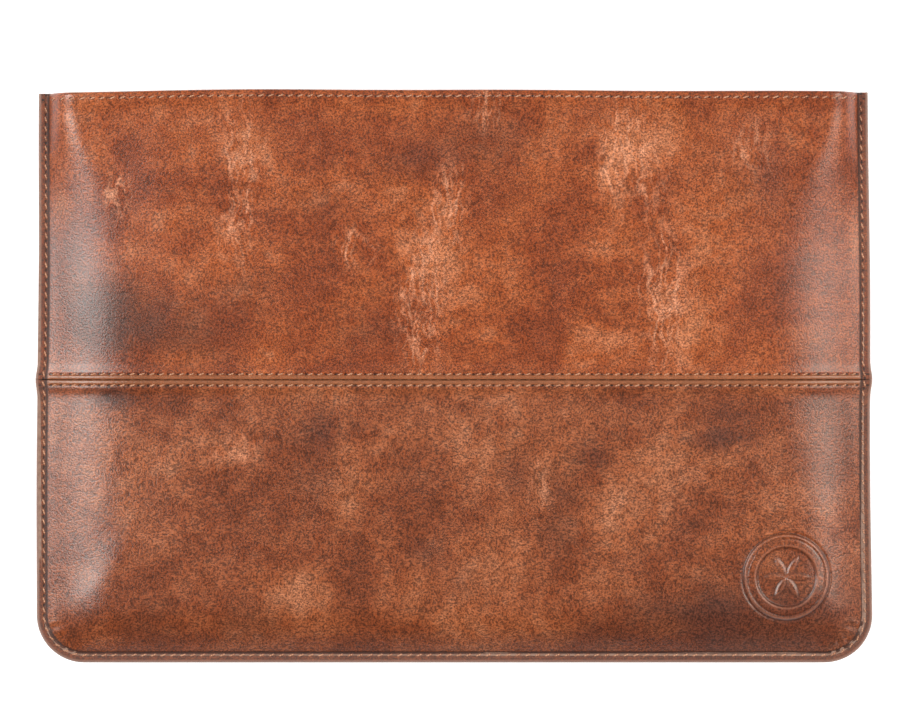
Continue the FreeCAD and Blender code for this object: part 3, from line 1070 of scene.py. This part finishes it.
# The band at (0, -110) and the spot at (130, -100) are painted shade on the bottom shoulder; the rest are
# stains.
LOWER_STAINS_AND_SHADE = [(-139, -8, 9, 7, 1.0), (-54, -22, 9, 10, 0.6), (-56, -42, 12, 14, 0.4), (25, -40, 9, 8, 0.5),
                (43, -45, 9, 10, 0.5), (55, -31, 8, 7, 0.6), (107, -25, 14, 4, 0.8), (113, -15, 13, 4, 0.5),
                (99, -5, 13, 3, 0.5), (-13, -70, 9, 8, 0.5), (4, -83, 9, 8, 0.4), (-19, -38, 10, 10, 0.4),
                (43, -64, 12, 9, 0.5), (102, -95, 14, 10, 0.7), (76, -95, 12, 9, 0.4), (56, -104, 14, 7, 0.4),
                (130, -100, 46, 22, 0.75), (0, -110, 150, 7, 0.4), (-123, -99, 16, 10, 0.5),
                (-83, -99, 14, 9, 0.5)]
LOWER_PALE = [(34, -44, 4, 10, 0.2), (66, -56, 15, 15, 0.2), (41, -90, 17, 9, 0.2), (-16, -90, 11, 11, 0.2),
              (0, -16, 34, 12, 0.2), (83, -34, 15, 10, 0.2), (-62, -86, 14, 12, 0.2), (-110, -30, 30, 20, 0.12)]
LOWER_CREASES = [(-90, -30, 12, 10, 0.4), (34, -44, 5, 12, 0.5), (66, -50, 8, 14, 0.3)]
BACK_STAINS = [(-90, 60, 34, 22, 0.5), (60, -40, 40, 26, 0.5), (120, 70, 22, 18, 0.4), (-40, -70, 30, 16, 0.5)]
BACK_PALE = [(0, 20, 44, 34, 0.2), (-100, -40, 30, 24, 0.15), (100, 10, 20, 34, 0.15)]
BACK_CREASES = [(-60, 10, 10, 40, 0.8), (30, 70, 12, 26, 0.7), (90, -70, 12, 24, 0.6)]

hem_line = (MOUTH - HEM_ROW) / MM
upper_leather = leather("waxed_leather_upper", UPPER_TONES, UPPER_STAINS, UPPER_PALE, UPPER_CREASES,
                        [hem_line, (SEAM + SEAM_ROW) / MM], 3.6)
lower_leather = leather("waxed_leather_lower", LOWER_TONES, LOWER_STAINS_AND_SHADE, LOWER_PALE, LOWER_CREASES,
                        [(SEAM - SEAM_ROW) / MM], 5.5)
back_leather = leather("waxed_leather_back", LOWER_TONES, BACK_STAINS, BACK_PALE, BACK_CREASES,
                       [hem_line], 4.5)
print("leather nodes:", len(upper_leather.node_tree.nodes), len(lower_leather.node_tree.nodes))

# %% [markdown]
# ## Thread, cloth, foam and paint
#
# The thread is bonded and waxed, so it shines a little, and its plies twist round it. The lining is a brushed
# microfibre with hardly any shine. The edge paint is worn pale in patches, and has a painted highlight on its
# crown.

# %% The other materials
def thread_material():
    board = Board("tan_thread")
    lengthwise, girth, _ = board.split(board.uv("strand"))
    twist = (lengthwise * 7.5 + girth).math("SINE")
    soil = board.noise(board.place(MM), 0.4, 2.0)
    worn = board.range(twist * 0.25 + soil, 0.3, 0.9)
    board.plug("Base Color", board.mix(shade(212, 158, 124), shade(160, 100, 70), worn))
    board.plug("Roughness", 0.5)
    board.bump(twist, 0.5, 0.08 * MM)
    return board.material


def lining_material():
    board = Board("lining_cloth")
    at = board.place(MM)
    nap = board.noise(at, 3.0, 3.0, 0.7)
    brushed = board.noise(at, 0.09, 3.0, 0.5, 0.6)
    pile = board.range(nap * 0.5 + brushed, 0.5, 1.0)
    board.plug("Base Color", board.mix(shade(62, 44, 34), shade(96, 72, 56), pile))
    board.plug("Roughness", 0.92)
    board.bump(nap, 0.5, 0.15 * MM)
    return board.material


def foam_material():
    board = Board("padding_foam")
    cells = board.noise(board.place(MM), 2.5, 2.0)
    board.plug("Base Color", board.mix(shade(58, 58, 60), shade(78, 78, 80), cells))
    board.plug("Roughness", 0.9)
    return board.material


def tape_material():
    board = Board("woven_tape")
    x, y, _ = board.split(board.place(0.5 * MM))
    weave = board.range((x * 3.1).math("SINE") * (y * 3.1).math("SINE"), -1.0, 1.0)
    board.plug("Base Color", board.mix(shade(206, 200, 186), shade(178, 170, 152), weave))
    board.plug("Roughness", 0.85)
    return board.material


def paint_material():
    board = Board("edge_paint")
    at = board.place(MM)
    wear = board.noise(at, 0.5, 4.0, 0.6)
    _, _, height = board.split(at)
    # Paler towards the top of the bead: a painted highlight on its crown, over patches of real wear.
    crown_highlight = board.range(height - MIDDLE / MM, 0.2, 1.5)
    wear_and_highlight = board.range(wear + crown_highlight * 0.3, 0.4, 1.0)
    board.plug("Base Color", board.mix(shade(112, 76, 60), shade(160, 128, 110), wear_and_highlight))
    board.plug("Roughness", board.range(wear, 0.3, 0.7, 0.38, 0.6))
    board.bump(wear, 0.4, 0.2 * MM)
    return board.material

# %% Dress the pieces
def dress(piece, material, slot):
    piece.data.materials.clear()
    piece.data.materials.append(material)


dress(upper_panel, upper_leather, "waxed_leather_upper")
dress(lower_panel, lower_leather, "waxed_leather_lower")
dress(back_panel, back_leather, "waxed_leather_lower")
dress(bead, paint_material(), "edge_paint")
tan_thread, dark_lining, grey_foam, pale_tape = (
    thread_material(), lining_material(), foam_material(), tape_material())
for piece in threads.values():
    dress(piece, tan_thread, "tan_thread")
finishes = {"lining": (dark_lining, "lining_cloth"), "padding": (grey_foam, "padding_foam"),
            "mouth_stay_tape": (pale_tape, "woven_tape")}
for (word, part), piece in cloth.items():
    dress(piece, *finishes[part])
print("materials:", len(bpy.data.materials))

# %% [markdown]
# ## How the mouth opens
#
# The frame swings the whole front wall up from the bottom seam. Real leather can't do that, because its sides
# are sewn shut: the middle of the lip lifts, and the sides stay where they are. Only the back pieces are joined
# to a body here, the back wall's. Each front piece is folded onto one half of the sleeve, has its transform
# baked in, and is then put back.

# %% Join the back pieces to their body
def bow(piece):
    points = read(piece)
    folded = points.copy()
    folded[:, 0] = np.abs(folded[:, 0])
    write(piece, folded)
    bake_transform(piece)
    write(piece, points)


bow(upper_panel)
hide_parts("front_upper_panel")
bow(lower_panel)
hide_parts("front_lower_panel")
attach(back_panel, "back_wall")
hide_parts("back_panel")
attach(bead, "back_wall")
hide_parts("edge_coating")
for node, piece in threads.items():
    if node.startswith("back") or node == "perimeter_bobbin_thread":
        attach(piece, "back_wall")
    else:
        bow(piece)
    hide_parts(node)
for (word, part), piece in cloth.items():
    if word == "back":
        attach(piece, "back_wall")
    else:
        bow(piece)
    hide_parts(f"{word}_{part}")

# %% [markdown]
# ## Cut sizes
#
# A panel's cut is longer than what shows, by what is turned in at the mouth.

# %% [markdown]
# ## Floor, light and camera
#
# The sleeve lies on a pale floor and is seen from straight above. Two long soft lights stand left and right
# of it, and each draws a pale band down the padded shoulder that faces it. A long lens far above keeps the
# sides parallel.

# %% Floor and lights
def floor():
    deselect()
    bpy.ops.mesh.primitive_plane_add(size=8, location=(0, 0, -0.05 * MM))
    piece = bpy.context.object
    piece.name = "floor"
    board = Board("pale_floor")
    board.plug("Base Color", shade(240, 240, 240))
    board.plug("Roughness", 0.9)
    board.plug("Emission Color", (1.0, 1.0, 1.0, 1.0))
    board.plug("Emission Strength", 0.55)
    piece.data.materials.append(board.material)


def softbox(name, place, size, watts, tint, shine):
    """A light aimed at the sleeve. It lights the leather or, when shine is true, only shows as a glint."""
    deselect()
    bpy.ops.object.light_add(type="AREA", location=place)
    light = bpy.context.object
    light.name = name
    light.data.shape = "RECTANGLE"
    light.data.size, light.data.size_y = size
    light.data.energy = watts
    light.data.color = tint
    light.rotation_euler = (Vector((0, 0, 0)) - Vector(place)).to_track_quat("-Z", "Y").to_euler()
    light.visible_diffuse, light.visible_glossy = not shine, shine


floor()
softbox("left_light", (-1.25, 0.1, 1.15), (1.3, 1.6), 28, (0.99, 0.99, 1.0), False)
softbox("right_light", (1.25, 0.0, 1.15), (1.3, 1.6), 26, (1.0, 0.98, 0.97), False)
softbox("left_window", (-1.15, 0.4, 1.2), (0.9, 1.0), 20, (0.84, 1.0, 1.0), True)
softbox("right_window", (1.15, 0.4, 1.2), (0.8, 1.0), 12, (0.94, 0.98, 0.88), True)
world = bpy.context.scene.world or bpy.data.worlds.new("studio")
bpy.context.scene.world = world
world.use_nodes = True
world.node_tree.nodes["Background"].inputs["Color"].default_value = (1.0, 0.96, 0.92, 1)
world.node_tree.nodes["Background"].inputs["Strength"].default_value = 0.15
bpy.context.scene.view_settings.view_transform = "Standard"

# %% Camera
FRAME_WIDTH = 365.7 * MM      # a little more than the sleeve's width
LENS, SENSOR = 200.0, 36.0
SHIFT_RIGHT, SHIFT_DOWN = 1.6 * MM, 6.3 * MM     # the sleeve sits a little right of and below the middle
camera_data = bpy.data.cameras.new("camera")
camera_data.lens, camera_data.sensor_width = LENS, SENSOR
camera = bpy.data.objects.new("camera", camera_data)
bpy.context.collection.objects.link(camera)
camera.location = (-SHIFT_RIGHT, SHIFT_DOWN, MIDDLE + FRAME_WIDTH * LENS / SENSOR)
bpy.context.scene.camera = camera
print("camera height:", round(camera.location.z, 3))
